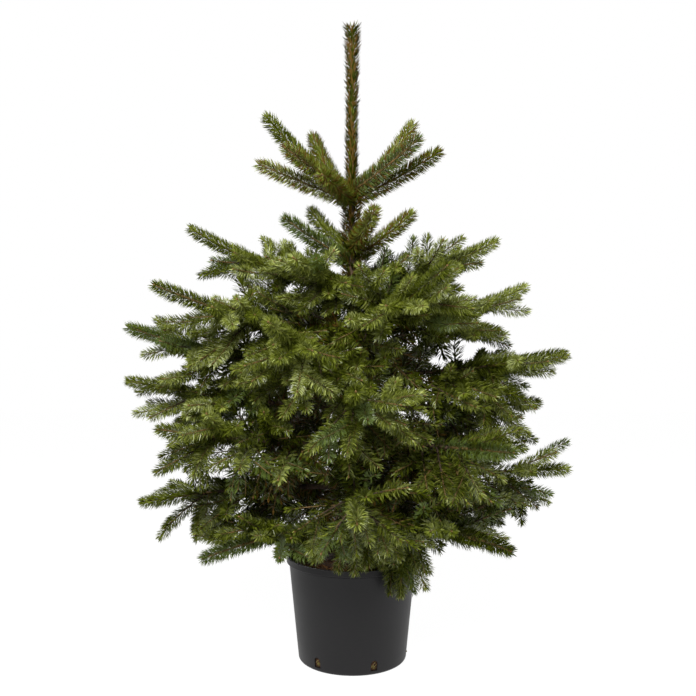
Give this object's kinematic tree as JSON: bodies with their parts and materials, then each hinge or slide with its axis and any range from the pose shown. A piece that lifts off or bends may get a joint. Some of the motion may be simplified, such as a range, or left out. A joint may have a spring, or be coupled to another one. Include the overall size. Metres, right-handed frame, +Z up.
{
  "type": "potted spruce tree",
  "caption": "Young spruce with a slim leader, open top whorl and dense conical crown, growing in a round tapered nursery pot filled with peat.",
  "frame": {"origin": "centre of the pot's flat underside, on the ground", "axes": "+Z up along the trunk, -Y towards the viewer, +X to the viewer's right"},
  "size_m": [0.8538, 0.7938, 1.218],
  "materials": {
    "pot": "matte",
    "peat": "matte",
    "bark": "matte",
    "needles": "matte"
  },
  "bodies": {
    "root": {"bough_2_1": "bark", "bough_2_2": "bark", "bough_2_3": "bark", "bough_2_4": "bark", "bough_3_1": "bark", "bough_3_2": "bark", "bough_3_3": "bark", "bough_3_4": "bark", "bough_4_1": "bark", "bough_4_2": "bark", "bough_4_3": "bark", "bough_4_4": "bark", "bough_5_1": "bark", "bough_5_2": "bark", "bough_5_3": "bark", "bough_5_4": "bark", "foliage_1_1": "needles", "foliage_1_2": "needles", "foliage_1_3": "needles", "foliage_1_4": "needles", "foliage_2_1": "needles", "foliage_2_2": "needles", "foliage_2_3": "needles", "foliage_2_4": "needles", "foliage_3_1": "needles", "foliage_3_2": "needles", "foliage_3_3": "needles", "foliage_3_4": "needles", "foliage_4_1": "needles", "foliage_4_2": "needles", "foliage_4_3": "needles", "foliage_4_4": "needles", "foliage_5_1": "needles", "foliage_5_2": "needles", "foliage_5_3": "needles", "foliage_5_4": "needles", "foliage_6_1": "needles", "foliage_6_2": "needles", "foliage_6_3": "needles", "foliage_6_4": "needles", "foliage_7_1": "needles", "foliage_7_2": "needles", "foliage_7_3": "needles", "foliage_7_4": "needles", "foliage_8_1": "needles", "foliage_8_2": "needles", "foliage_8_3": "needles", "foliage_8_4": "needles", "foliage_9_1": "needles", "foliage_9_2": "needles", "foliage_9_3": "needles", "foliage_9_4": "needles", "foliage_9_5": "needles", "foliage_9_6": "needles", "foliage_9_7": "needles", "foliage_9_8": "needles", "leader_foliage": "needles", "peat": "peat", "pot": "pot", "trunk": "bark"}
  },
  "joints": []
}
